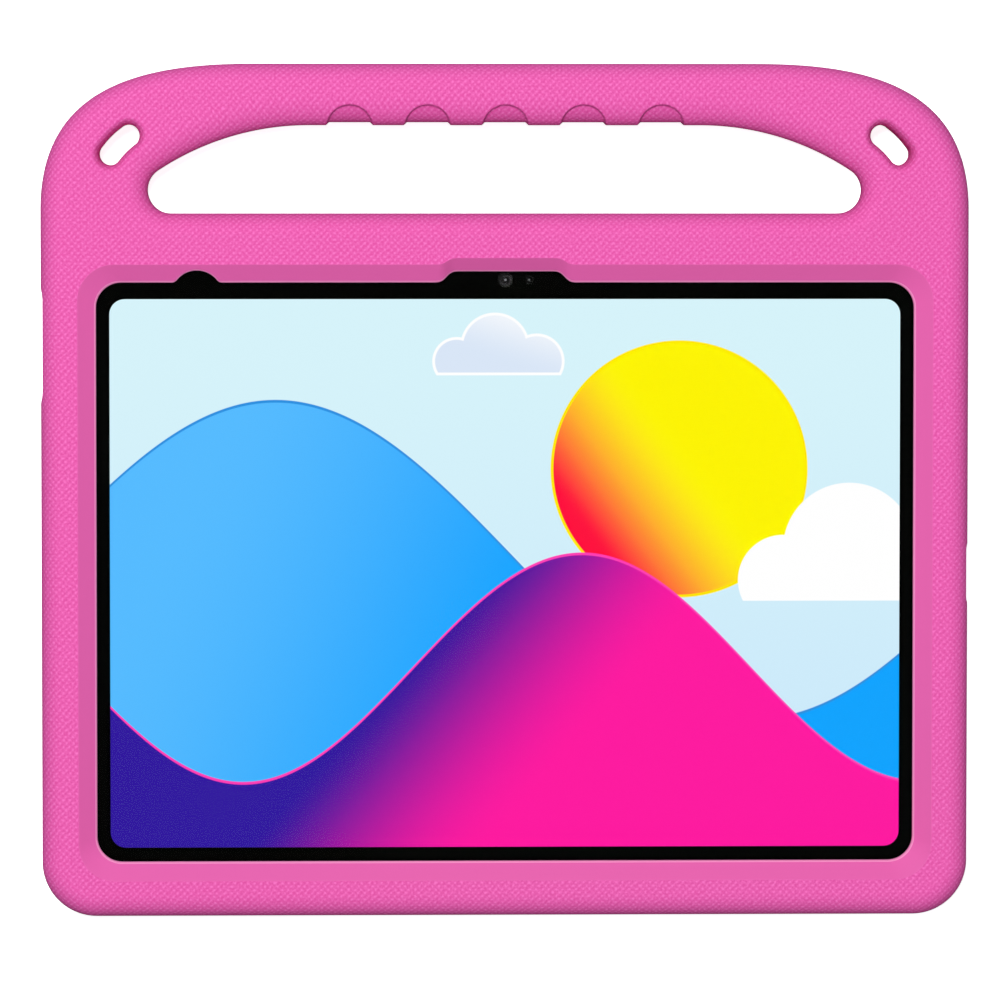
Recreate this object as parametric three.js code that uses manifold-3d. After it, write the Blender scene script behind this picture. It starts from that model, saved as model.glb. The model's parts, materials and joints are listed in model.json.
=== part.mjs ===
// Kids tablet case with a carrying handle, moulded in one piece from EVA foam, and the tablet that it holds.
// Millimetres. The case lies on its back: +X to the right, +Y towards the handle, +Z out of the screen.
// The origin is the middle of the whole outline, on the surface that the back rests on.
import * as THREE from "three";
import { mergeVertices } from "three/addons/utils/BufferGeometryUtils.js";
import Module from "manifold-3d";

// Tablet
const tabletWidth = 248.6;
const tabletHeight = 179.5;
const tabletThickness = 7;
const tabletCornerRadius = 15.3;
const tabletEdgeRadius = 0.7; // flat sides with a small round at the back
const blackSide = 10.75; // from the tablet's side to the lit area of the display
const blackEnd = 10.85; // from its upper and lower edge
const displayCornerRadius = 4.4;
const displayThickness = 1.5;
const displayMargin = 1.5; // the panel runs this far under the black border
const borderThickness = 0.25; // black layer under the glass
const glassThickness = 0.7;
const glassRim = 1.1; // metal edge left around the glass
const runningGap = 0.3; // free space between separate pieces
const frontCameraRadius = 1.8;
const frontCameraDepth = 2.2;
const frontCameraInset = 5.35; // from the tablet's upper edge to the centre of the lens
const lightSensorRadius = 0.9;
const lightSensorDepth = 1.2;
const lightSensorOffset = 6.8; // to the right of the front camera
const keyLength = 18;
const keyHeight = 3.4;
const keyProud = 0.5; // stands out of the tablet's side
const keySunk = 1.6; // reaches into the housing
const keyTravel = 0.3;
const keyInset = 24.7; // from the tablet's upper edge to the middle of the key
const socketWidth = 9; // outside of the charging socket's steel shell
const socketHeight = 3.3;
const socketWall = 0.35;
const socketDepth = 6.5;
const tongueWidth = 6.2;
const tongueThickness = 0.7;
const tongueSetback = 0.8; // behind the socket's mouth
const socketFloor = 1; // back plate of the shell
const rearCameraRadius = 7.4;
const rearCameraHeight = 1;
const rearCameraWall = 0.9;
const rearCameraInset = 16.8; // from the tablet's two nearest edges
const rearLensRecess = 0.3;

// Case body
const pocketGap = 0.3; // around the tablet
const sideWall = 8.6;
const bottomWall = 8.6;
const backWall = 6.5;
const bridgeHeight = 13.5; // foam between the pocket and the handle opening
const openingHeight = 25.15;
const gripHeight = 17.6; // handle bar above the opening
const lipEdge = 1.2; // thickness of the lip at the edge of the window
const bevelRise = 3.5; // from the lip's edge up to the front face
const bevelWidth = 5.2;
const lipCover = 7.15; // the lip covers this much of the tablet at its sides and bottom
const lipCoverTop = 6.1;
const windowCornerRadius = 7.2;
const bevelCornerRadius = 10.5;
const edgeRadius = 6.5; // round of every outer edge and of the handle opening
const lowerCornerRadius = 15.7;
const upperCornerWidth = 61.1;
const upperCornerHeight = 41.9;
const upperCornerSidePull = 35.4; // how long the corner's curve follows the side
const upperCornerTopPull = 32.2; // and the top

// Handle opening and finger grooves
const openingInset = 31.05; // from the side of the case to the end of the opening
const openingEndRadius = 6.7;
const openingShoulderRadius = 83.5;
const grooveCount = 5;
const groovePitch = 22.33;
const grooveRadius = 6.8;
const grooveDepth = 0.85;
const grooveRise = 0.8; // centre of the groove's arc below the edge of the grip

// Strap slots
const slotInsetX = 22.7; // from the side of the case to the middle of the slot
const slotInsetY = 23.15; // from the top of the case
const slotLength = 13.5;
const slotWidth = 6.3;
const slotBendRadius = 35;
const slotTurn = 45; // degrees
const slotEdgeRadius = 2.2;

// Openings round the window and in the walls
const notchBaseWidth = 39.3; // room for the front camera in the upper lip
const notchTopWidth = 29.2;
const notchRise = 3.25;
const notchBevelRise = 2; // how far the outer edge of the bevel follows it
const scallopRadius = 8.4; // thumb scallop that frees the tablet
const scallopRise = 3.5;
const scallopBevelRise = 0.1; // how far the outer edge of the bevel follows it
const scallopFootRadius = 1.5; // where it runs out into the lip's straight edge
const scallopInset = 44.6; // from the side of the case
const cutoutHeight = 7.6;
const keyCutoutLength = 27;
const keyCutoutFlare = 2.2;
const portCutoutLength = 13.6;
const portCutoutFlare = 1.7;
const soundSlotLength = 16;
const soundSlotHeight = 3;
const soundSlotOffset = 34; // from the middle of the tablet's side
const cameraHoleRadius = 12;
const cameraHoleFlare = 2;

// Fineness of the curves
const arcSteps = 9;
const freeCurveSteps = 14;
const edgeSteps = 5; // across a rounded edge
const mouthSteps = 3;
const scallopSteps = [2, 12, 2]; // round at its foot, the scallop, the other foot
const circleSteps = 28;
const sameSpot = 1e-6; // points closer than this are one point
const overcut = 2; // a cutter reaches this far past what it cuts

// Sizes that follow
const caseWidth = tabletWidth + 2 * (pocketGap + sideWall);
const caseHeight =
  bottomWall + 2 * pocketGap + tabletHeight + bridgeHeight + openingHeight + gripHeight;
const glassTop = backWall + tabletThickness;
const lipUnderside = glassTop + pocketGap;
const bevelFoot = lipUnderside + lipEdge;
const caseThickness = bevelFoot + bevelRise;
const caseBottom = -caseHeight / 2;
const caseTop = caseHeight / 2;
const tabletBottom = caseBottom + bottomWall + pocketGap;
const tabletMiddle = tabletBottom + tabletHeight / 2;
const tabletTop = tabletBottom + tabletHeight;
const tabletMidDepth = backWall + tabletThickness / 2;
const openingBottom = tabletTop + pocketGap + bridgeHeight;
const openingTop = openingBottom + openingHeight;
const windowBottom = tabletBottom + lipCover;
const windowTop = tabletTop - lipCoverTop;
const windowWidth = tabletWidth - 2 * lipCover;
const displayWidth = tabletWidth - 2 * blackSide; // the lit area
const displayHeight = tabletHeight - 2 * blackEnd;
const keyMiddle = tabletTop - keyInset;
const glassBottom = glassTop - glassThickness;
const borderBottom = glassBottom - borderThickness;
const displayBottom = borderBottom - displayThickness;

const wasm = await Module();
wasm.setup();

// Solids and meshes
function solidOf(geometry) {
  const bare = geometry.clone();
  bare.deleteAttribute("normal");
  bare.deleteAttribute("uv");
  const merged = mergeVertices(bare);
  return new wasm.Manifold(
    new wasm.Mesh({
      numProp: 3,
      vertProperties: merged.attributes.position.array,
      triVerts: new Uint32Array(merged.index.array),
    }),
  );
}

function geometryOf(solid) {
  const { vertProperties, triVerts } = solid.getMesh();
  const indexed = new THREE.BufferGeometry();
  indexed.setAttribute("position", new THREE.BufferAttribute(vertProperties, 3));
  indexed.setIndex(new THREE.BufferAttribute(triVerts, 1));
  const flat = indexed.toNonIndexed();
  flat.computeVertexNormals();
  return flat;
}

function cut(solid, ...cutters) {
  return cutters.reduce((left, cutter) => left.subtract(cutter), solid);
}

// Outlines
function roundedRectangle(width, height, radius) {
  const x = width / 2;
  const y = height / 2;
  const shape = new THREE.Shape();
  shape.moveTo(x - radius, -y);
  shape.absarc(x - radius, radius - y, radius, -Math.PI / 2, 0);
  shape.absarc(x - radius, y - radius, radius, 0, Math.PI / 2);
  shape.absarc(radius - x, y - radius, radius, Math.PI / 2, Math.PI);
  shape.absarc(radius - x, radius - y, radius, Math.PI, 1.5 * Math.PI);
  shape.closePath();
  return shape;
}

function stadium(length, width) {
  const straight = (length - width) / 2;
  const points = [];
  for (const side of [1, -1]) {
    for (let i = 0; i <= arcSteps; i++) {
      const angle = Math.PI * (i / arcSteps - 0.5);
      points.push(
        new THREE.Vector2(
          side * (straight + (width / 2) * Math.cos(angle)),
          side * (width / 2) * Math.sin(angle),
        ),
      );
    }
  }
  return points;
}

function circle(radius) {
  return Array.from({ length: circleSteps }, (_, i) => {
    const angle = (2 * Math.PI * i) / circleSteps;
    return new THREE.Vector2(radius * Math.cos(angle), radius * Math.sin(angle));
  });
}

// The same outline, with each point moved.
function shifted(points, x, y) {
  return points.map((point) => new THREE.Vector2(point.x + x, point.y + y));
}

// The points of a path: the ends of its straight lines, and evenly spaced points on its curves.
function outlineOf(path) {
  const points = path.curves.flatMap((curve) => {
    if (curve.isLineCurve) return curve.getPoints(1);
    return curve.getPoints(curve.isEllipseCurve ? arcSteps : freeCurveSteps);
  });
  const outline = points.filter((point, i) => {
    const before = points[(i + points.length - 1) % points.length];
    return point.distanceTo(before) > sameSpot;
  });
  return THREE.ShapeUtils.isClockWise(outline) ? outline.reverse() : outline;
}

// Solids from outlines
// A closed body through outlines of equally many points; each level is [height, outline], from low to high.
function loft(levels) {
  const count = levels[0][1].length;
  const positions = levels.flatMap(([height, outline]) =>
    outline.flatMap((point) => [point.x, point.y, height]),
  );
  const faces = [];
  for (let level = 0; level < levels.length - 1; level++) {
    for (let i = 0; i < count; i++) {
      const low = level * count;
      const high = low + count;
      const next = (i + 1) % count;
      faces.push(low + i, low + next, high + next, low + i, high + next, high + i);
    }
  }
  const last = (levels.length - 1) * count;
  for (const [a, b, c] of THREE.ShapeUtils.triangulateShape(levels[0][1], [])) {
    faces.push(c, b, a);
  }
  for (const [a, b, c] of THREE.ShapeUtils.triangulateShape(levels.at(-1)[1], [])) {
    faces.push(last + a, last + b, last + c);
  }
  const geometry = new THREE.BufferGeometry();
  geometry.setAttribute("position", new THREE.Float32BufferAttribute(positions, 3));
  geometry.setIndex(faces);
  return solidOf(geometry);
}

function prism(outline, low, high) {
  return loft([
    [low, outline],
    [high, outline],
  ]);
}

// A plate whose edges, those of its holes too, are rounded towards both faces.
function roundedPlate(shape, thickness, radius) {
  const geometry = new THREE.ExtrudeGeometry(shape, {
    depth: thickness - 2 * radius,
    bevelThickness: radius,
    bevelSize: radius,
    bevelOffset: -radius,
    bevelSegments: edgeSteps,
  });
  geometry.translate(0, 0, radius);
  return solidOf(geometry);
}

// Heights and growth of a cutter whose mouth opens with a quarter round; out is 1 or -1.
function mouth(face, out, radius) {
  const levels = [];
  for (let i = 0; i <= mouthSteps; i++) {
    const angle = (i / mouthSteps) * (Math.PI / 2);
    levels.push([
      face - out * radius * (1 - Math.sin(angle)),
      radius * (1 - Math.cos(angle)),
    ]);
  }
  levels.push([face + out * overcut, radius]);
  return out > 0 ? levels : levels.reverse();
}

// Turns a solid made along +Z so that it runs along +X, with its own x along Y and y along Z.
function facingRight(solid) {
  return solid.transform([0, 1, 0, 0, 0, 0, 1, 0, 1, 0, 0, 0, 0, 0, 0, 1]);
}

function facingLeft(solid) {
  return facingRight(solid).rotate([0, 0, 180]);
}

// Case body
function caseOutline() {
  const side = caseWidth / 2;
  const cornerX = side - upperCornerWidth;
  const cornerY = caseTop - upperCornerHeight;
  const shape = new THREE.Shape();
  shape.moveTo(side - lowerCornerRadius, caseBottom);
  shape.absarc(
    side - lowerCornerRadius,
    caseBottom + lowerCornerRadius,
    lowerCornerRadius,
    -Math.PI / 2,
    0,
  );
  shape.lineTo(side, cornerY);
  shape.bezierCurveTo(
    side,
    cornerY + upperCornerSidePull,
    cornerX + upperCornerTopPull,
    caseTop,
    cornerX,
    caseTop,
  );
  shape.lineTo(-cornerX, caseTop);
  shape.bezierCurveTo(
    -cornerX - upperCornerTopPull,
    caseTop,
    -side,
    cornerY + upperCornerSidePull,
    -side,
    cornerY,
  );
  shape.absarc(
    lowerCornerRadius - side,
    caseBottom + lowerCornerRadius,
    lowerCornerRadius,
    Math.PI,
    1.5 * Math.PI,
  );
  shape.closePath();
  return shape;
}

// The opening has a flat sill, round ends, and a roof whose long arcs touch the ends and the flat grip.
function handleOpening() {
  const endX = caseWidth / 2 - openingInset - openingEndRadius;
  const endY = openingBottom + openingEndRadius;
  const arcY = openingTop - openingShoulderRadius;
  const reach = openingShoulderRadius - openingEndRadius;
  const arcX = endX - Math.sqrt(reach ** 2 - (endY - arcY) ** 2);
  const join = Math.atan2(endY - arcY, endX - arcX);
  const path = new THREE.Path();
  path.moveTo(-endX, openingBottom);
  path.lineTo(endX, openingBottom);
  path.absarc(endX, endY, openingEndRadius, -Math.PI / 2, join);
  path.absarc(arcX, arcY, openingShoulderRadius, join, Math.PI / 2);
  path.lineTo(-arcX, openingTop);
  path.absarc(-arcX, arcY, openingShoulderRadius, Math.PI / 2, Math.PI - join);
  path.absarc(-endX, endY, openingEndRadius, Math.PI - join, 1.5 * Math.PI);
  path.closePath();
  return path;
}

function foamBlank() {
  const shape = new THREE.Shape(outlineOf(caseOutline()));
  shape.holes.push(new THREE.Path(outlineOf(handleOpening())));
  return roundedPlate(shape, caseThickness, edgeRadius);
}

function pocketCutter() {
  const shape = roundedRectangle(
    tabletWidth + 2 * pocketGap,
    tabletHeight + 2 * pocketGap,
    tabletCornerRadius + pocketGap,
  );
  const outline = shifted(outlineOf(shape), 0, tabletMiddle);
  return prism(outline, backWall, lipUnderside);
}

// The thumb scallop's bump in the window's upper edge, from right to left, with small rounds at its foot.
function scallopBump() {
  const centre = scallopRise - scallopRadius;
  const footY = scallopFootRadius;
  const footX = Math.sqrt((scallopRadius + scallopFootRadius) ** 2 - (footY - centre) ** 2);
  const touch = Math.atan2(footY - centre, footX);
  const path = new THREE.Path();
  path.absarc(footX, footY, scallopFootRadius, 1.5 * Math.PI, touch + Math.PI, true);
  path.absarc(0, centre, scallopRadius, touch, Math.PI - touch);
  path.absarc(-footX, footY, scallopFootRadius, -touch, -Math.PI / 2, true);
  const curves = path.curves.filter((curve) => curve.isEllipseCurve);
  return curves.flatMap((curve, i) => curve.getPoints(scallopSteps[i]).slice(i > 0 ? 1 : 0));
}

// The window's outline with the camera notch and the thumb scallop in its upper edge, grown by a
// share of the bevel: 0 at the lip's edge, 1 at the front face, where the scallop has all but run out.
function windowOutline(share) {
  const growth = bevelWidth * share;
  const radius = THREE.MathUtils.lerp(windowCornerRadius, bevelCornerRadius, share);
  const side = windowWidth / 2 + growth;
  const low = windowBottom - growth;
  const high = windowTop + growth;
  const crest = high + THREE.MathUtils.lerp(notchRise, notchBevelRise, share);
  const wide = notchBaseWidth / 2;
  const narrow = notchTopWidth / 2;
  const half = (wide + narrow) / 2;
  const path = new THREE.Path();
  path.absarc(side - radius, low + radius, radius, -Math.PI / 2, 0);
  path.absarc(side - radius, high - radius, radius, 0, Math.PI / 2);
  path.lineTo(wide, high);
  path.bezierCurveTo(half, high, half, crest, narrow, crest);
  path.lineTo(-narrow, crest);
  path.bezierCurveTo(-half, crest, -half, high, -wide, high);
  const scallopX = scallopInset - caseWidth / 2;
  const squash = THREE.MathUtils.lerp(1, scallopBevelRise / scallopRise, Math.min(1, share));
  for (const point of scallopBump()) {
    path.lineTo(scallopX + point.x, high + point.y * squash);
  }
  path.absarc(radius - side, high - radius, radius, Math.PI / 2, Math.PI);
  path.absarc(radius - side, low + radius, radius, Math.PI, 1.5 * Math.PI);
  return outlineOf(path);
}

function windowCutters() {
  const pastFace = 1 + overcut / bevelRise;
  return [
    prism(windowOutline(0), glassTop, bevelFoot),
    loft([
      [bevelFoot, windowOutline(0)],
      [caseThickness, windowOutline(1)],
      [caseThickness + overcut, windowOutline(pastFace)],
    ]),
  ];
}

// Finger grooves: a shell of the grip's rounded underside comes away inside each upright cylinder.
function grooveCutters() {
  const radius = edgeRadius - grooveDepth;
  const section = roundedRectangle(
    gripHeight,
    caseThickness - 2 * grooveDepth,
    radius,
  );
  const length = (grooveCount + 1) * groovePitch;
  const middle = openingTop + grooveDepth + gripHeight / 2;
  const outline = shifted(outlineOf(section), middle, caseThickness / 2);
  const core = facingRight(prism(outline, -length / 2, length / 2));
  return Array.from({ length: grooveCount }, (_, i) => {
    const x = (i - (grooveCount - 1) / 2) * groovePitch;
    const upright = shifted(circle(grooveRadius), x, openingTop - grooveRise);
    return prism(upright, -overcut, caseThickness + overcut).subtract(core);
  });
}

// A strap slot follows a slight arc round the corner of the case.
function slotOutline(growth) {
  const straight = slotLength / 2 - slotWidth / 2;
  return stadium(slotLength + 2 * growth, slotWidth + 2 * growth).map((point) => {
    const along = THREE.MathUtils.clamp(point.x, -straight, straight);
    const sag = along ** 2 / (2 * slotBendRadius);
    return new THREE.Vector2(point.x, point.y - sag);
  });
}

function slotCutters() {
  const levels = [...mouth(0, -1, slotEdgeRadius), ...mouth(caseThickness, 1, slotEdgeRadius)];
  const slot = loft(levels.map(([height, growth]) => [height, slotOutline(growth)]));
  const x = caseWidth / 2 - slotInsetX;
  const y = caseTop - slotInsetY;
  return [
    slot.rotate([0, 0, -slotTurn]).translate([x, y, 0]),
    slot.rotate([0, 0, slotTurn]).translate([-x, y, 0]),
  ];
}

// A cut-out through a side wall, round ended, with a soft mouth on the outside.
function sideCutout(length, height, flare, middle, turn) {
  const wall = caseWidth / 2;
  const inside = [tabletWidth / 2 - pocketGap, 0];
  const levels = flare > 0 ? [inside, ...mouth(wall, 1, flare)] : [inside, [wall + overcut, 0]];
  const outlineAt = (growth) => {
    const outline = stadium(length + 2 * growth, height + 2 * growth);
    return shifted(outline, turn * middle, tabletMidDepth);
  };
  const cutter = loft(levels.map(([depth, growth]) => [depth, outlineAt(growth)]));
  return turn > 0 ? facingRight(cutter) : facingLeft(cutter);
}

function sideCutters() {
  const cutters = [
    sideCutout(keyCutoutLength, cutoutHeight, keyCutoutFlare, keyMiddle, -1),
    sideCutout(portCutoutLength, cutoutHeight, portCutoutFlare, tabletMiddle, 1),
  ];
  for (const turn of [1, -1]) {
    for (const end of [1, -1]) {
      const middle = tabletMiddle + end * soundSlotOffset;
      cutters.push(sideCutout(soundSlotLength, soundSlotHeight, 0, middle, turn));
    }
  }
  return cutters;
}

const rearCameraX = rearCameraInset - tabletWidth / 2;
const rearCameraY = tabletTop - rearCameraInset;

function rearCameraHole() {
  const levels = [...mouth(0, -1, cameraHoleFlare), [backWall + pocketGap, 0]];
  return loft(
    levels.map(([height, growth]) => [
      height,
      shifted(circle(cameraHoleRadius + growth), rearCameraX, rearCameraY),
    ]),
  );
}

function caseBody() {
  return cut(
    foamBlank(),
    pocketCutter(),
    ...windowCutters(),
    ...grooveCutters(),
    ...slotCutters(),
    ...sideCutters(),
    rearCameraHole(),
  );
}

// Tablet
function tabletOutline(inset) {
  const shape = roundedRectangle(
    tabletWidth - 2 * inset,
    tabletHeight - 2 * inset,
    tabletCornerRadius - inset,
  );
  return shifted(outlineOf(shape), 0, tabletMiddle);
}

function displayOutline(growth) {
  const shape = roundedRectangle(
    displayWidth + 2 * growth,
    displayHeight + 2 * growth,
    displayCornerRadius + growth,
  );
  return shifted(outlineOf(shape), 0, tabletMiddle);
}

const frontCameraY = tabletTop - frontCameraInset;

function frontDisc(radius, x, low, high) {
  return prism(shifted(circle(radius), x, frontCameraY), low, high);
}

// The power key's section, in the plane of the tablet's side.
function keyBlock(gap, inner, outer) {
  const outline = stadium(keyLength + 2 * gap, keyHeight + 2 * gap);
  return facingLeft(prism(shifted(outline, -keyMiddle, tabletMidDepth), inner, outer));
}

function socketBlock(gap, inner, outer) {
  const outline = stadium(socketWidth + 2 * gap, socketHeight + 2 * gap);
  return facingRight(prism(shifted(outline, tabletMiddle, tabletMidDepth), inner, outer));
}

const tabletSide = tabletWidth / 2;

function tabletHousing() {
  const blank = loft([
    [backWall, tabletOutline(tabletEdgeRadius)],
    [backWall + tabletEdgeRadius, tabletOutline(0)],
    [glassTop, tabletOutline(0)],
  ]);
  const cameraTop = borderBottom + overcut;
  return cut(
    blank,
    prism(tabletOutline(glassRim - runningGap), borderBottom, glassTop + overcut),
    prism(displayOutline(displayMargin + runningGap), displayBottom, cameraTop),
    frontDisc(frontCameraRadius + runningGap, 0, glassBottom - frontCameraDepth, cameraTop),
    frontDisc(
      lightSensorRadius + runningGap,
      lightSensorOffset,
      glassBottom - lightSensorDepth,
      cameraTop,
    ),
    keyBlock(runningGap, tabletSide - keySunk - keyTravel - runningGap, tabletSide + overcut),
    socketBlock(runningGap, tabletSide - socketDepth, tabletSide + overcut),
  );
}

function borderLayer() {
  return cut(
    prism(tabletOutline(glassRim), borderBottom, glassBottom),
    prism(displayOutline(0), borderBottom - overcut, glassBottom + overcut),
    frontDisc(frontCameraRadius + runningGap, 0, borderBottom - overcut, glassBottom + overcut),
    frontDisc(
      lightSensorRadius + runningGap,
      lightSensorOffset,
      borderBottom - overcut,
      glassBottom + overcut,
    ),
  );
}

function socketShell() {
  return cut(
    socketBlock(0, tabletSide - socketDepth, tabletSide),
    socketBlock(-socketWall, tabletSide - socketDepth + socketFloor, tabletSide + overcut),
  );
}

function socketTongue() {
  const outline = stadium(tongueWidth, tongueThickness);
  return facingRight(
    prism(
      shifted(outline, tabletMiddle, tabletMidDepth),
      tabletSide - socketDepth + socketFloor,
      tabletSide - tongueSetback,
    ),
  );
}

function rearDisc(radius, low, high) {
  return prism(shifted(circle(radius), rearCameraX, rearCameraY), low, high);
}

const rearCameraFoot = backWall - rearCameraHeight;
const rearLensRadius = rearCameraRadius - rearCameraWall;

function rearCameraRing() {
  return cut(
    rearDisc(rearCameraRadius, rearCameraFoot, backWall),
    rearDisc(rearLensRadius, rearCameraFoot - overcut, backWall + overcut),
  );
}

// Finishes
function finish(color, roughness, metalness = 0) {
  return new THREE.MeshStandardMaterial({ color, roughness, metalness });
}

const foam = finish("#ee67b5", 0.85);
const anodised = finish("#c9ccd2", 0.4, 1);
const blackPrint = finish("#070708", 0.3);
const litScreen = finish("#cdecfb", 0.25);
const clearGlass = finish("#ffffff", 0.05);
clearGlass.transparent = true;
clearGlass.opacity = 0.15;
const lensGlass = finish("#14141a", 0.1);
const steel = finish("#b8babd", 0.3, 1);
const blackPlastic = finish("#1a1a1c", 0.5);

const pieces = [
  ["case_body", caseBody(), foam],
  ["tablet_housing", tabletHousing(), anodised],
  [
    "tablet_display",
    prism(displayOutline(displayMargin), displayBottom, borderBottom),
    litScreen,
  ],
  ["tablet_border", borderLayer(), blackPrint],
  ["tablet_glass", prism(tabletOutline(glassRim), glassBottom, glassTop), clearGlass],
  [
    "front_camera",
    frontDisc(frontCameraRadius, 0, glassBottom - frontCameraDepth, glassBottom),
    lensGlass,
  ],
  [
    "light_sensor",
    frontDisc(
      lightSensorRadius,
      lightSensorOffset,
      glassBottom - lightSensorDepth,
      glassBottom,
    ),
    lensGlass,
  ],
  ["power_key", keyBlock(0, tabletSide - keySunk, tabletSide + keyProud), anodised],
  ["charging_socket_shell", socketShell(), steel],
  ["charging_socket_tongue", socketTongue(), blackPlastic],
  ["rear_camera_ring", rearCameraRing(), anodised],
  [
    "rear_camera_lens",
    rearDisc(rearLensRadius - runningGap, rearCameraFoot + rearLensRecess, backWall),
    lensGlass,
  ],
];

const tabletInCase = new THREE.Group();
for (const [name, solid, material] of pieces) {
  const mesh = new THREE.Mesh(geometryOf(solid), material);
  mesh.name = name;
  tabletInCase.add(mesh);
}

export default tabletInCase;
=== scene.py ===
import math

import bmesh
import bpy
import numpy as np
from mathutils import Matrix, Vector
from mathutils.geometry import tessellate_polygon
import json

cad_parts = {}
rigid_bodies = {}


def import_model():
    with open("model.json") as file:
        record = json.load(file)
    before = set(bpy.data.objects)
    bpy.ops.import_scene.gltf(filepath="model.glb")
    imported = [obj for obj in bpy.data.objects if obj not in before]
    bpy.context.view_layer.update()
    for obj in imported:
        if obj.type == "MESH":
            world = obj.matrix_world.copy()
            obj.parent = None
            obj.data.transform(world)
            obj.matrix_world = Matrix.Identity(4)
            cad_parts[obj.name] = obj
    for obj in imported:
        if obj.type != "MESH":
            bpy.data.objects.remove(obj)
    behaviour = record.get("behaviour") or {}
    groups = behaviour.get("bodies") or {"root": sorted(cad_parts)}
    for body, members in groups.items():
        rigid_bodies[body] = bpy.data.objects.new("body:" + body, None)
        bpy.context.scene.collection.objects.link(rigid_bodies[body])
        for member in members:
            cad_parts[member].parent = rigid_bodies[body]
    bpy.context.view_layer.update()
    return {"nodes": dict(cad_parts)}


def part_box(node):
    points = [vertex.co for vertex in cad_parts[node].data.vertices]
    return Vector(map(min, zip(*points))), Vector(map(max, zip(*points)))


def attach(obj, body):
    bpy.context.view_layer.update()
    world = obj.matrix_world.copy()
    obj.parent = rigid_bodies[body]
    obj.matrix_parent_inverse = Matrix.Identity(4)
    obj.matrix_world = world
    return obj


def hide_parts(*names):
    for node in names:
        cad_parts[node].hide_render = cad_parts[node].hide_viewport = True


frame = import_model()

caseBodyName = "case_with_tablet"
mm = 0.001  # all sizes below are millimetres, meshes are metres


# sRGB hex to the linear RGBA that Blender's sockets hold
def linearColour(hexColour):
    parts = [int(hexColour[i:i + 2], 16) / 255 for i in (1, 3, 5)]
    return tuple(c / 12.92 if c <= 0.04045 else ((c + 0.055) / 1.055) ** 2.4 for c in parts) + (1.0,)


# a socket by its index or name, or the first one, among those that the node's settings leave open
def openSocket(sockets, name=None):
    if isinstance(name, int):
        return sockets[name]
    return next(socket for socket in sockets if socket.enabled and name in (None, socket.name))


# each input takes a value, a hex colour, a node for its first output, or (node, output)
def setInputs(tree, node, inputs):
    for name, source in inputs.items():
        socket = openSocket(node.inputs, name)
        if isinstance(source, bpy.types.Node):
            tree.links.new(openSocket(source.outputs), socket)
        elif isinstance(source, tuple) and isinstance(source[0], bpy.types.Node):
            tree.links.new(openSocket(source[0].outputs, source[1]), socket)
        else:
            socket.default_value = linearColour(source) if isinstance(source, str) else source


# one node with its settings and its inputs
def addNode(tree, kind, settings=None, inputs=None):
    node = tree.nodes.new(kind)
    for key, value in (settings or {}).items():
        setattr(node, key, value)
    setInputs(tree, node, inputs or {})
    return node


def newMaterial(name, inputs):
    material = bpy.data.materials.new(name)
    material.use_nodes = True
    setInputs(material.node_tree, material.node_tree.nodes["Principled BSDF"], inputs)
    return material


def boxMm(node):
    low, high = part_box(node)
    return np.array(low) / mm, np.array(high) / mm


# outlines are closed rings of points, counter-clockwise, in millimetres;
# this one runs from start to end in degrees, without the last
def arc(centre, radius, start, end, step):
    a, b = math.radians(start), math.radians(end)
    count = max(2, math.ceil(radius * abs(b - a) / step))
    angles = a + (b - a) * np.arange(count) / count
    return np.stack([centre[0] + radius * np.cos(angles), centre[1] + radius * np.sin(angles)], 1)


def line(start, end, step):
    start, end = np.array(start, float), np.array(end, float)
    count = max(1, math.ceil(np.linalg.norm(end - start) / step))
    return start + (end - start) * (np.arange(count) / count)[:, None]


# points of a cubic curve at the shares t of its length
def cubic(p0, p1, p2, p3, t):
    t = t[:, None]
    p0, p1, p2, p3 = (np.array(p, float) for p in (p0, p1, p2, p3))
    return (1 - t) ** 3 * p0 + 3 * t * (1 - t) ** 2 * p1 + 3 * t ** 2 * (1 - t) * p2 + t ** 3 * p3


def bezier(p0, p1, p2, p3, step):
    length = sum(math.dist(a, b) for a, b in ((p0, p1), (p1, p2), (p2, p3)))
    count = max(3, math.ceil(length / step))
    return cubic(p0, p1, p2, p3, np.arange(count) / count)


def outwardNormals(ring):
    ahead = np.roll(ring, -1, 0) - ring
    ahead /= np.linalg.norm(ahead, axis=1)[:, None]
    tangent = ahead + np.roll(ahead, 1, 0)
    tangent /= np.linalg.norm(tangent, axis=1)[:, None]
    return np.stack([tangent[:, 1], -tangent[:, 0]], 1)


def roundedRectangle(centre, width, height, radius, steps):
    angles = np.radians(np.linspace(0, 90, steps))
    ring = []
    for turn, (x, y) in enumerate([(1, -1), (1, 1), (-1, 1), (-1, -1)]):
        start = math.radians(90 * turn - 90)
        corner = np.array(centre) + (x * (width / 2 - radius), y * (height / 2 - radius))
        ring.append(corner + radius * np.stack([np.cos(start + angles), np.sin(start + angles)], 1))
    return np.concatenate(ring)


def stadium(length, width, steps):
    angles = np.radians(np.linspace(-90, 90, steps))
    half = (length - width) / 2
    right = np.stack([half + width / 2 * np.cos(angles), width / 2 * np.sin(angles)], 1)
    return np.concatenate([right, -right])


# points in millimetres, faces as lists of indices
def meshObject(name, points, faces, materials=(), faceMaterials=None, smoothAngle=None):
    mesh = bpy.data.meshes.new(name)
    mesh.from_pydata((np.asarray(points, float) * mm).tolist(), [], faces)
    for material in materials:
        mesh.materials.append(material)
    if faceMaterials is not None:
        mesh.polygons.foreach_set("material_index", faceMaterials)
    mesh.update()
    obj = bpy.data.objects.new(name, mesh)
    bpy.context.scene.collection.objects.link(obj)
    if smoothAngle is not None:
        smoothShade(obj, smoothAngle)
    return obj


def faceOutward(mesh):
    shell = bmesh.new()
    shell.from_mesh(mesh)
    bmesh.ops.recalc_face_normals(shell, faces=shell.faces)
    shell.to_mesh(mesh)
    shell.free()


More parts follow.
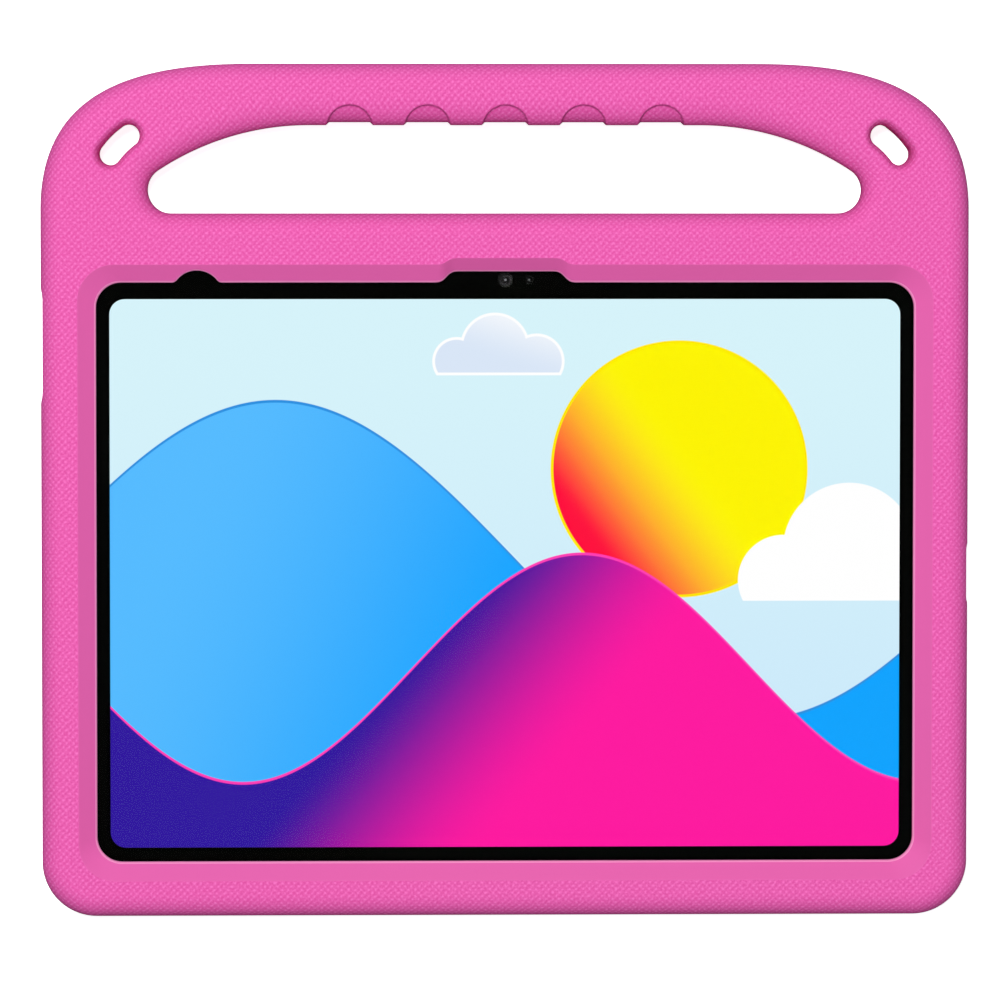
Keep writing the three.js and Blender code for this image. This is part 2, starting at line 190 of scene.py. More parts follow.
def smoothShade(obj, angle):
    obj.data.shade_smooth()
    obj.data.set_sharp_from_angle(angle=math.radians(angle))


# side faces between rings of equally many points, each given by its first index;
# the points run counter-clockwise as seen from the last ring
def bridge(rings):
    faces = []
    count = rings[1] - rings[0]
    for low, high in zip(rings, rings[1:]):
        for i in range(count):
            j = (i + 1) % count
            faces.append((low + i, low + j, high + j, high + i))
    return faces


# points, faces and their materials for a closed body through [(height, ring)], from low to high
def loft(levels, bandMaterials=None):
    count = len(levels[0][1])
    points = np.concatenate([np.column_stack([ring, np.full(count, height)]) for height, ring in levels])
    faces = bridge([i * count for i in range(len(levels))])
    last = (len(levels) - 1) * count
    faces.append(tuple(range(count))[::-1])
    faces.append(tuple(range(last, last + count)))
    bands = bandMaterials or [0] * (len(levels) - 1)
    return points, faces, list(np.repeat(bands, count)) + [bands[0], bands[-1]]


# a turned body through [(radius, height)]
def lathe(profile, centre, steps, bandMaterials=None):
    return loft([(height, circle(centre, radius, steps)) for radius, height in profile], bandMaterials)


def circle(centre, radius, steps):
    angles = 2 * math.pi * np.arange(steps) / steps
    return np.stack([centre[0] + radius * np.cos(angles), centre[1] + radius * np.sin(angles)], 1)


# heights and growth of a cutter that opens with a quarter round at a face; out is 1 or -1
def mouth(face, out, radius, steps, depth=None):
    depth = depth or radius
    levels = []
    for i in range(steps + 1):
        angle = math.pi / 2 * i / steps
        levels.append((face - out * depth * (1 - math.sin(angle)), radius * (1 - math.cos(angle))))
    levels.append((face + out * caseSizes["cutterReach"], radius))
    return levels if out > 0 else levels[::-1]


# a body made along Z turned to run along X: its own x goes along Y and its y along Z
def turnedToSide(points, side):
    return np.stack([side * points[:, 2], side * points[:, 0], points[:, 1]], 1)


caseSizes = {
    "edgeRound": 6.5,
    "edgeSteps": {"outline": (16, 2), "opening": (40, 10)},  # round the edge, down the wall
    "outlineStep": 1.0,
    "lowerCorner": 15.7,
    "upperCorner": (61.1, 41.9),
    "upperCornerPull": (32.2, 35.4),  # how far the corner's curve follows the top and the side
    "gripHeight": 17.6,
    "openingHeight": 25.28,
    "openingInset": 30.65,
    "openingEnd": 6.7,
    "openingShoulder": 78.5,
    "gripSpread": 0.3,  # how much wider the grip is rounded underneath than the other edges
    "groove": {"count": 5, "pitch": 22.33, "radius": 6.8, "depth": 0.85, "wall": 0.85, "rise": 0.8},
    "slot": {"insetX": 22.45, "insetY": 23.07, "length": 13.75, "width": 6.3,
             "bend": 24, "turn": 45, "edge": 2.3, "edgeDepth": 5.4},
    "lipCover": 7.0,
    "lipCoverTop": 6.1,
    "pocketGap": 0.3,
    "pocketCorner": 15.6,
    "windowDepth": 0.5,  # how far the window is cut below the glass
    "cutterReach": 3.0,  # how far each cutter stands out of the foam
    "lipEdge": 1.2,
    "lipEdgeRound": 0.8,
    "bevelWidth": 5.2,
    "bevelEdgeRound": 0.3,
    "windowCorner": (7.2, 10.5),  # at the lip's edge and at the front face
    "notchWidth": (40.0, 27.8),  # base and crest
    "notchRise": (3.18, 1.88),  # at the lip's edge and at the front face
    "scallop": {"inset": 44.8, "radius": 7.3, "rise": 3.5, "footRound": 1.9, "rim": 0.35},
    "keyCutout": {"length": 30.4, "height": 8.4, "corner": 2.2, "flare": 1.8, "inset": 24.1},
    "portCutout": {"length": 15.5, "height": 8.6, "corner": 1.2, "flare": 1.2},
    "soundSlot": {"length": 16, "height": 3, "corner": 1.5, "flare": 0, "offset": 34},
    "cameraHole": {"radius": 12, "flare": 2.0, "inset": 16.8},
    "gripStep": 0.24,  # mesh spacing along the grip, where the grooves are pressed in
}
caseLow, caseHigh = boxMm("case_body")
tabletLow, tabletHigh = boxMm("tablet_housing")
caseSide, caseTop, caseBottom, caseFront = caseHigh[0], caseHigh[1], caseLow[1], caseHigh[2]
glassTop = boxMm("tablet_glass")[1][2]
tabletMiddle = (tabletLow[1] + tabletHigh[1]) / 2
tabletMidDepth = (tabletLow[2] + glassTop) / 2
openingTop = caseTop - caseSizes["gripHeight"]
openingBottom = openingTop - caseSizes["openingHeight"]


def caseOutline(step):
    sizes = caseSizes
    r = sizes["lowerCorner"]
    cornerX = caseSide - sizes["upperCorner"][0]
    cornerY = caseTop - sizes["upperCorner"][1]
    topPull, sidePull = sizes["upperCornerPull"]
    half = np.concatenate([
        line((0, caseBottom), (caseSide - r, caseBottom), 8),
        arc((caseSide - r, caseBottom + r), r, -90, 0, step),
        line((caseSide, caseBottom + r), (caseSide, cornerY), 8),
        bezier((caseSide, cornerY), (caseSide, cornerY + sidePull),
               (cornerX + topPull, caseTop), (cornerX, caseTop), step),
        line((cornerX, caseTop), (0, caseTop), 8),
    ])
    other = half[1:][::-1] * (-1, 1)
    return np.concatenate([half, [(0, caseTop)], other])


# counter-clockwise; the long arcs touch the round ends inside and the flat grip above
def openingOutline(step):
    endRadius, shoulder = caseSizes["openingEnd"], caseSizes["openingShoulder"]
    endX = caseSide - caseSizes["openingInset"] - endRadius
    endY = openingBottom + endRadius
    arcY = openingTop - shoulder
    arcX = endX - math.sqrt((shoulder - endRadius) ** 2 - (endY - arcY) ** 2)
    join = math.degrees(math.atan2(endY - arcY, endX - arcX))
    half = np.concatenate([
        line((0, openingBottom), (endX, openingBottom), 6),
        arc((endX, endY), endRadius, -90, join, step * 2),
        arc((arcX, arcY), shoulder, join, 90, step * 4),
        line((arcX, openingTop), (0, openingTop), step),
    ])
    other = half[1:][::-1] * (-1, 1)
    return np.concatenate([half, [(0, openingTop)], other])


# [height, inset, way along the surface from the face's edge] from the back face to the front one
def edgeLevels(steps, sideSteps):
    r = caseSizes["edgeRound"]
    levels = []
    for i in range(steps + 1):
        angle = math.pi / 2 * i / steps
        levels.append((r * (1 - math.cos(angle)), r * (1 - math.sin(angle)), r * angle))
    middle = caseFront / 2
    for i in range(1, sideSteps):
        height = r + (middle - r) * i / sideSteps
        levels.append((height, 0.0, r * math.pi / 2 + height - r))
    levels.append((middle, 0.0, r * math.pi / 2 + middle - r))
    mirrored = [(caseFront - height, inset, way) for height, inset, way in levels[:-1][::-1]]
    return levels + mirrored


# 0 to 1: how far each point on the grip lies in a finger groove, whose walls slope
def grooveDepth(points):
    g = caseSizes["groove"]
    depth = np.zeros(len(points))
    for i in range(g["count"]):
        x = (i - (g["count"] - 1) / 2) * g["pitch"]
        reach = np.hypot(points[:, 0] - x, points[:, 1] - (openingTop - g["rise"]))
        depth = np.maximum(depth, np.clip((g["radius"] - reach) / g["wall"], 0, 1))
    return depth


# the rounded plate with its handle opening; each point keeps its place in the unrolled grain
def foamBlank(materials):
    r = caseSizes["edgeRound"]
    points, grain, pressed, faces, faceRings = [], [], [], [], []
    first = 0
    steps = caseSizes["edgeSteps"]
    contours = [(caseOutline(caseSizes["outlineStep"]), -1, edgeLevels(*steps["outline"])),
                (openingOutline(caseSizes["gripStep"]), 1, edgeLevels(*steps["opening"]))]
    for ring, sign, levels in contours:
        away = outwardNormals(ring) * sign  # into the foam
        spread = 1 + caseSizes["gripSpread"] * np.clip(away[:, 1:], 0, 1) if sign > 0 else 1
        rings = []
        for height, inset, way in levels:
            flat = ring + away * inset * spread
            lean = min(1.0, max(-1.0, (r - inset) / r))
            upright = math.sqrt(max(0.0, 1 - lean ** 2)) * (1 if height > caseFront / 2 else -1)
            normals = np.column_stack([-away * lean, np.full(len(ring), upright)])
            level = np.column_stack([flat, np.full(len(ring), height)])
            depth = grooveDepth(level) if sign > 0 else np.zeros(len(ring))
            points.append(level - normals * depth[:, None] * caseSizes["groove"]["depth"])
            pressed.append(depth)
            grain.append(ring + away * (r * spread - way))
            rings.append(first)
            first += len(ring)
        sides = bridge(rings)
        faces += sides if sign < 0 else [face[::-1] for face in sides]
        faceRings.append((rings[0], rings[-1], len(ring)))
    points, grain = np.concatenate(points), np.concatenate(grain)
    for end in (0, 1):
        ranges = [range(ringSet[end], ringSet[end] + ringSet[2]) for ringSet in faceRings]
        indices = [i for ring in ranges for i in ring]
        outline = [[Vector((*points[i][:2], 0)) for i in ring] for ring in ranges]
        for triangle in tessellate_polygon(outline):
            a, b, c = (indices[i] for i in triangle)
            area = np.cross(points[b][:2] - points[a][:2], points[c][:2] - points[a][:2])
            faces.append((a, b, c) if (area > 0) == (end == 1) else (a, c, b))
    blank = meshObject("foamBlank", points, faces, materials)
    setGrain(blank.data, grain)
    depths = blank.data.attributes.new("pressed", "FLOAT", "POINT")
    depths.data.foreach_set("value", np.concatenate(pressed))
    faceOutward(blank.data)
    return blank


bevelFoot = glassTop + caseSizes["pocketGap"] + caseSizes["lipEdge"]
bevelSlope = math.atan2(caseFront - bevelFoot, caseSizes["bevelWidth"])


# [growth, height] of the window from the glass up the lip's edge, over its round and up the bevel
def bevelProfile():
    sizes = caseSizes
    run = sizes["bevelWidth"]

    # a small arc between two directions at a corner
    def roundCorner(corner, before, after, radius):
        turn = after - before
        length = radius * abs(math.tan(turn / 2))
        side = 1 if turn > 0 else -1
        start = np.array(corner) - length * np.array([math.cos(before), math.sin(before)])
        centre = start + side * radius * np.array([-math.sin(before), math.cos(before)])
        headings = before + turn * np.linspace(0, 1, 5)
        return [tuple(centre + side * radius * np.array([math.sin(a), -math.cos(a)])) for a in headings]

    lip = roundCorner((0.0, bevelFoot), math.pi / 2, bevelSlope, sizes["lipEdgeRound"])
    rim = roundCorner((run, caseFront), bevelSlope, 0.0, sizes["bevelEdgeRound"])
    low, high = np.array(lip[-1]), np.array(rim[0])
    slopeEnds = [tuple(low + (high - low) * share) for share in (0.04, 0.96)]
    below, above = glassTop - sizes["windowDepth"], caseFront + sizes["cutterReach"]
    return [(0.0, below)] + lip + slopeEnds + rim + [(rim[-1][0], above)]


# the window with its camera notch, grown outward along the bevel
def windowOutline(growth):
    sizes = caseSizes
    share = growth / sizes["bevelWidth"]
    side = tabletHigh[0] - sizes["lipCover"] + growth
    low = tabletLow[1] + sizes["lipCover"] - growth
    high = tabletHigh[1] - sizes["lipCoverTop"] + growth
    radius = sizes["windowCorner"][0] + (sizes["windowCorner"][1] - sizes["windowCorner"][0]) * share
    rise = sizes["notchRise"][0] + (sizes["notchRise"][1] - sizes["notchRise"][0]) * share
    wide, narrow = (w / 2 for w in sizes["notchWidth"])
    half = (wide + narrow) / 2

    def corner(x, y, start):
        angles = np.radians(start + np.linspace(0, 90, 15))
        return np.stack([x + radius * np.cos(angles), y + radius * np.sin(angles)], 1)

    shares = np.linspace(0, 1, 16)
    return np.concatenate([
        corner(side - radius, low + radius, -90),
        corner(side - radius, high - radius, 0),
        cubic((wide, high), (half, high), (half, high + rise), (narrow, high + rise), shares),
        cubic((-narrow, high + rise), (-half, high + rise), (-half, high), (-wide, high), shares),
        corner(radius - side, high - radius, 90),
        corner(radius - side, low + radius, 180),
    ])


# cut straight down through the bevel, with a rim that follows the bevel's slope; its wall and rim take
# the paler third material, a painted highlight
def thumbScallop():
    s = caseSizes["scallop"]
    depth = s["radius"] - s["rise"]
    footX = math.sqrt((s["radius"] + s["footRound"]) ** 2 - (depth + s["footRound"]) ** 2)
    touch = math.atan2(depth + s["footRound"], footX)
    down = np.linspace(-math.pi / 2, touch - math.pi, 8)
    foot = np.stack([footX + s["footRound"] * np.cos(down), s["footRound"] * (1 + np.sin(down))], 1)
    along = np.linspace(touch, math.pi - touch, 32)[1:-1]
    crown = np.stack([s["radius"] * np.cos(along), s["radius"] * np.sin(along) - depth], 1)
    lipInside = tabletHigh[1] - caseSizes["lipCoverTop"]
    inside = np.array([(-footX, -2.0), (footX, -2.0)])  # well within the open window
    ring = np.concatenate([foot, crown, foot[::-1] * (-1, 1), inside])
    away = outwardNormals(ring)
    away[-2:] = 0
    place = (s["inset"] - caseSide, lipInside)
    rim = s["rim"]
    levels = [(glassTop - caseSizes["windowDepth"] - bevelFoot, 0.0), (-rim, 0.0),
              (-rim * 0.3, rim * 0.3), (0.0, rim), (caseSizes["cutterReach"], rim)]
    rings = [(bevelFoot + rise, ring + away * growth + place) for rise, growth in levels]
    points, faces, bands = loft(rings, [2, 2, 2, 1])
    upper = np.arange(len(points)) >= len(ring)
    points[upper, 2] += np.clip(points[upper, 1] - lipInside, 0, None) * math.tan(bevelSlope)
    return points, faces, bands, points[:, :2]


def slotRing(growth):
    s = caseSizes["slot"]
    half = (s["length"] - s["width"]) / 2
    radius = s["width"] / 2 + growth
    angles = np.radians(np.linspace(-90, 90, 24))
    end = np.stack([half + radius * np.cos(angles), radius * np.sin(angles)], 1)
    along = np.linspace(half, -half, 11)[1:-1]
    straight = np.stack([along, np.full(len(along), radius)], 1)
    ring = np.concatenate([end, straight, -end, -straight])
    ring[:, 1] -= np.clip(ring[:, 0], -half, half) ** 2 / (2 * s["bend"])
    return ring


# its mouths and walls carry the grain on, unrolled like the case's edges
def strapSlot(side):
    s = caseSizes["slot"]
    edge = s["edge"]
    upper = mouth(caseFront, 1, edge, 12, s["edgeDepth"])
    lower = [(caseFront - height, growth) for height, growth in upper[::-1]]
    levels = lower + [(caseFront / 2, 0.0)] + upper
    ring = slotRing(0)
    way = 0.0
    ways = [way]
    for (low, narrow), (high, wide) in zip(upper[-2:0:-1], upper[-3::-1]):
        way += math.hypot(high - low, wide - narrow)
        ways.append(way)
    ways = [ways[0]] + ways
    middle = way + caseFront / 2 - s["edgeDepth"]
    grain = [ring + outwardNormals(ring) * (edge - way) for way in ways + [middle] + ways[::-1]]
    points, faces, bands = loft([(height, slotRing(growth)) for height, growth in levels])
    grain = np.concatenate(grain)
    turn = math.radians(-side * s["turn"])
    move = (side * (caseSide - s["insetX"]), caseTop - s["insetY"])
    spin = np.array([[math.cos(turn), math.sin(turn)], [-math.sin(turn), math.cos(turn)]])
    points[:, :2] = points[:, :2] @ spin + move
    return points, faces, bands, grain @ spin + move


# an opening through a side wall at the tablet's mid depth, with a soft mouth
def wallCutout(sizes, middle, side):
    inner, flare = tabletHigh[0] - caseSizes["pocketGap"], sizes["flare"]
    outer = mouth(caseSide, 1, flare, 8) if flare else [(caseSide + caseSizes["cutterReach"], 0.0)]
    levels = [(inner, 0.0)] + outer
    centre = (side * middle, tabletMidDepth)
    hair = 0.01  # keeps the ring's corners apart where they meet
    rings = [(depth, roundedRectangle(centre, sizes["length"] + 2 * growth, sizes["height"] + 2 * growth,
                                      sizes["corner"] + growth - hair, steps=8))
             for depth, growth in levels]
    points, faces = loft(rings)[:2]
    points = turnedToSide(points, side)
    return points, faces, [1] * len(faces), sideGrain(points, side)


# where points on the case's side stand in the grain, unrolled over its rounded edges
def sideGrain(points, side):
    r = caseSizes["edgeRound"]
    depth = np.clip(np.minimum(points[:, 2], caseFront - points[:, 2]), 0, None)
    way = np.where(depth < r, r * np.arccos(np.clip(1 - depth / r, 0, 1)), r * math.pi / 2 + depth - r)
    return np.stack([side * (caseSide - r + way), points[:, 1]], 1)


def cameraHole():
    hole = caseSizes["cameraHole"]
    place = (tabletLow[0] + hole["inset"], tabletHigh[1] - hole["inset"])
    levels = mouth(0, -1, hole["flare"], 8) + [(tabletLow[2] + caseSizes["pocketGap"], 0.0)]
    return lathe([(hole["radius"] + growth, height) for height, growth in levels], place, 72)


# a cutter that leaves smooth foam; on the flat faces the grain runs on as it is
def smoothCut(body):
    points, faces = body[:2]
    return points, faces, [1] * len(faces), points[:, :2]


def foamCutters():
    gap = caseSizes["pocketGap"]
    width, height = 2 * (tabletHigh[0] + gap), tabletHigh[1] - tabletLow[1] + 2 * gap
    pocket = roundedRectangle((0, tabletMiddle), width, height, caseSizes["pocketCorner"], steps=18)
    yield smoothCut(loft([(tabletLow[2], pocket), (glassTop + gap, pocket)]))
    profile = bevelProfile()
    # painted highlight: the window's wall and the lip's round take the paler third material
    points, faces, bands = loft(
        [(height, windowOutline(growth)) for growth, height in profile],
        [2 if i < 6 else 1 for i in range(len(profile) - 1)])
    yield points, faces, bands, points[:, :2]
    yield thumbScallop()
    for side in (1, -1):
        yield strapSlot(side)
    sound = caseSizes["soundSlot"]
    yield wallCutout(caseSizes["keyCutout"], tabletHigh[1] - caseSizes["keyCutout"]["inset"], -1)
    yield wallCutout(caseSizes["portCutout"], tabletMiddle, 1)
    for side in (1, -1):
        for end in (1, -1):
            yield wallCutout(sound, tabletMiddle + end * sound["offset"], side)
    yield smoothCut(cameraHole())


# each face corner keeps its place in the unrolled grain, in millimetres
def setGrain(mesh, grain):
    corners = np.empty(len(mesh.loops), int)
    mesh.loops.foreach_get("vertex_index", corners)
    mesh.uv_layers.new(name="grain").uv.foreach_set("vector", np.asarray(grain)[corners].ravel())


def applyModifier(obj, kind, settings):
    modifier = obj.modifiers.new("change", kind)
    for key, value in settings.items():
        setattr(modifier, key, value)
    with bpy.context.temp_override(object=obj, active_object=obj):
        bpy.ops.object.modifier_apply(modifier=modifier.name)


# cuts each body away; the cut faces keep their own material and place in the grain
def carve(obj, cutters, materials):
    for points, faces, faceMaterials, grain in cutters:
        cutter = meshObject("cutter", points, faces, materials, faceMaterials)
        setGrain(cutter.data, grain)
        applyModifier(obj, "BOOLEAN",
                      {"operation": "DIFFERENCE", "solver": "MANIFOLD", "object": cutter})
        cutterMesh = cutter.data
        bpy.data.objects.remove(cutter)
        bpy.data.meshes.remove(cutterMesh)


foamSizes = {
    "dotPitch": 1.36,  # between the rows of raised dots, which run at 45 degrees
    "dotHeight": 0.14,
    "dotSharpness": 3.2,
    "patches": {"size": 1.111, "gain": 3.4, "floor": -0.85},  # where the dots stand out or fade
    "stipple": {"size": 0.625, "gain": 1.75, "floor": -0.675, "height": 0.3},  # the mould's unevenness
    "wander": {"size": 2.857, "reach": 1.2},  # how far the rows stray, as no mould is quite even
    "cells": {"size": 0.5556, "detail": 3.0, "roughness": 0.6, "strength": 0.25, "height": 0.05},
    "rowShade": 0.07,  # the dots hang together a little more along one diagonal
    # painted shade in the finger grooves, on their floors and on their walls
    "grooveShade": 0.17,
    "grooveWallShade": 1.3,
    "dot": "#FC7ACA",
    "dip": "#E755A8",
    # deep: the colour of the painted shade in the grooves
    "deep": "#8A1F5C",
    "smooth": "#EA64B1",
    # lip: a paler colour on the lip's edge and the scallop's rim, a painted highlight
    "lip": "#FB94CB",
}


# Closed-cell EVA foam out of a textured mould: matt, with rows of small raised dots that catch the light.
def grainedFoam():
    sizes = foamSizes
    wander, patches, stipple = sizes["wander"], sizes["patches"], sizes["stipple"]
    material = newMaterial("EVA foam, moulded with a dotted grain",
                           {"Roughness": 0.8, "IOR": 1.45, "Specular IOR Level": 0.08})
    tree = material.node_tree
    place = addNode(tree, "ShaderNodeUVMap", {"uv_map": "grain"})
    split = addNode(tree, "ShaderNodeSeparateXYZ", {}, {0: place})

    # two sets of rows that cross, each a wave along its diagonal
    drift = addNode(tree, "ShaderNodeTexNoise", {},
                    {"Vector": place, "Scale": 1 / wander["size"], "Detail": 1.0})
    stray = addNode(tree, "ShaderNodeMath", {"operation": "MULTIPLY_ADD"},
                    {0: drift, 1: wander["reach"], 2: -wander["reach"] / 2})
    waves = 2 * math.pi / (sizes["dotPitch"] * math.sqrt(2))  # radians to a millimetre across both axes
    rows = []
    for operation in ("ADD", "SUBTRACT"):
        across = addNode(tree, "ShaderNodeMath", {"operation": operation},
                         {0: (split, "X"), 1: (split, "Y")})
        way = addNode(tree, "ShaderNodeMath", {"operation": "ADD"}, {0: across, 1: stray})
        turn = addNode(tree, "ShaderNodeMath", {"operation": "MULTIPLY"}, {0: way, 1: waves})
        rows.append(addNode(tree, "ShaderNodeMath", {"operation": "COSINE"}, {0: turn}))

    # the dots stand where both waves are high
    both = addNode(tree, "ShaderNodeMath", {"operation": "ADD"}, {0: rows[0], 1: rows[1]})
    rise = addNode(tree, "ShaderNodeMath", {"operation": "MULTIPLY_ADD"}, {0: both, 1: 0.25, 2: 0.5})
    dots = addNode(tree, "ShaderNodeMath", {"operation": "POWER", "use_clamp": True},
                   {0: rise, 1: sizes["dotSharpness"]})
    uneven = addNode(tree, "ShaderNodeTexNoise", {},
                     {"Vector": place, "Scale": 1 / patches["size"], "Detail": 3.0, "Roughness": 0.7})
    strength = addNode(tree, "ShaderNodeMath", {"operation": "MULTIPLY_ADD", "use_clamp": True},
                       {0: uneven, 1: patches["gain"], 2: patches["floor"]})
    standing = addNode(tree, "ShaderNodeMath", {"operation": "MULTIPLY", "use_clamp": True},
                       {0: dots, 1: strength})
    joined = addNode(tree, "ShaderNodeMath", {"operation": "MULTIPLY_ADD"},
                     {0: rows[1], 1: sizes["rowShade"], 2: standing})
    fine = addNode(tree, "ShaderNodeTexNoise", {},
                   {"Vector": place, "Scale": 1 / stipple["size"], "Detail": 2.0})
    speckle = addNode(tree, "ShaderNodeMath", {"operation": "MULTIPLY_ADD"},
                      {0: fine, 1: stipple["gain"], 2: stipple["floor"]})
    shown = addNode(tree, "ShaderNodeMath", {"operation": "ADD", "use_clamp": True},
                    {0: joined, 1: speckle})
    foam = addNode(tree, "ShaderNodeMix", {"data_type": "RGBA"},
                   {"Factor": shown, "A": sizes["dip"], "B": sizes["dot"]})

    # painted shade: the pressed grooves are darker, and darkest on their walls, where shade falls
    pressed = addNode(tree, "ShaderNodeAttribute", {"attribute_name": "pressed"})
    left = addNode(tree, "ShaderNodeMath", {"operation": "SUBTRACT"}, {0: 1.0, 1: (pressed, "Fac")})
    wall = addNode(tree, "ShaderNodeMath", {"operation": "MULTIPLY"}, {0: (pressed, "Fac"), 1: left})
    floor = addNode(tree, "ShaderNodeMath", {"operation": "MULTIPLY"},
                    {0: (pressed, "Fac"), 1: sizes["grooveShade"]})
    shade = addNode(tree, "ShaderNodeMath", {"operation": "MULTIPLY_ADD"},
                    {0: wall, 1: sizes["grooveWallShade"], 2: floor})
    colour = addNode(tree, "ShaderNodeMix", {"data_type": "RGBA"},
                     {"Factor": shade, "A": foam, "B": sizes["deep"]})

    ripple = addNode(tree, "ShaderNodeMath", {"operation": "MULTIPLY"}, {0: fine, 1: stipple["height"]})
    height = addNode(tree, "ShaderNodeMath", {"operation": "MULTIPLY_ADD"},
                     {0: dots, 1: strength, 2: ripple})
    bump = addNode(tree, "ShaderNodeBump", {},
                   {"Height": height, "Strength": 0.5, "Distance": sizes["dotHeight"] * mm})
    setInputs(tree, tree.nodes["Principled BSDF"], {"Base Color": colour, "Normal": bump})
    return material


# a fine unevenness all over a material, whose waves and heights are given in millimetres
def addGrit(material, grit):
    tree = material.node_tree
    place = addNode(tree, "ShaderNodeTexCoord")
    noise = addNode(tree, "ShaderNodeTexNoise", {},
                    {"Vector": (place, "Object"), "Scale": 1 / (grit["size"] * mm),
                     "Detail": grit["detail"], "Roughness": grit["roughness"]})
    bump = addNode(tree, "ShaderNodeBump", {},
                   {"Height": noise, "Strength": grit["strength"], "Distance": grit["height"] * mm})
    setInputs(tree, tree.nodes["Principled BSDF"], {"Normal": bump})


# The same foam where the mould is polished: the bevel round the window and the walls of the openings.
def smoothFoam(name, colour):
    material = newMaterial("EVA foam, " + name, {
        "Base Color": colour, "Roughness": 0.6, "IOR": 1.45, "Specular IOR Level": 0.3})
    addGrit(material, foamSizes["cells"])
    return material


def makeCaseBody():
    # the third material paints a highlight on the edge of the lip
    materials = [grainedFoam(), smoothFoam("moulded smooth", foamSizes["smooth"]),
                 smoothFoam("edge of the lip", foamSizes["lip"])]
    body = foamBlank(materials)
    body.name = "foam_case"
    body.data.name = "foam_case"
    carve(body, foamCutters(), materials)
    smoothShade(body, 38)
    applyModifier(body, "WEIGHTED_NORMAL", {"mode": "FACE_AREA", "weight": 50, "keep_sharp": True})
    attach(body, caseBodyName)
    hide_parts("case_body")
    print("case body:", len(body.data.polygons), "faces")
    return body


metalSizes = {
    "beads": {"size": 0.1667, "detail": 2.0, "roughness": 0.5, "strength": 0.2, "height": 0.02},
}


# Aluminium, bead-blasted and anodised: a fine satin sparkle with no direction.
def anodisedAluminium():
    material = newMaterial("aluminium, bead-blasted and anodised", {
        "Base Color": "#C9CCD2", "Roughness": 0.38, "Metallic": 1.0})
    addGrit(material, metalSizes["beads"])
    return material


# Cover glass, ground and coated against reflections, so the black border stays black.
def coatedGlass():
    return newMaterial("cover glass, anti-reflection coated", {
        "Base Color": "#FFFFFF", "Roughness": 0.02, "Transmission Weight": 1.0, "IOR": 1.12})


pictureSizes = {
    "sky": ((0, 1), -79, 79, "#CBE9FB", "#D6F3FA"),
    "edge": 0.22,  # how soft an outline is
    "rim": 0.8,
    # sky and fill: direction, start and end of the change, its two colours
    "sun": {"centre": (50, 30), "radius": 37,
            "fill": ((0.8, 0.6), 26, 62, "#FF0A3C", "#FFF500"), "line": "#FFE800"},
    "hills": [
        {"base": 4, "rise": 46, "peak": -66, "spread": 44,
         "fill": ((0.9, -0.4), -95, 20, "#55BBFF", "#0AA3FF"), "line": "#2C8FE0"},
        {"base": -27, "rise": 33, "peak": 22, "spread": 31,
         "fill": ((0.75, -0.65), -5, 48, "#31199E", "#FF14A0"), "line": "#FF3DB4"},
    ],
    "clouds": [
        {"floor": -8, "puffs": [((80, -2), 13), ((99, 7), 19), ((119, 0), 16)]},
        {"floor": 57, "puffs": [((-14, 61), 7), ((-3, 65), 10), ((9, 61), 8)]},
    ],
    "cloud": {"direction": (0.3, 0.95), "height": 22, "colours": ("#D9E6F7", "#FFFFFF")},
}


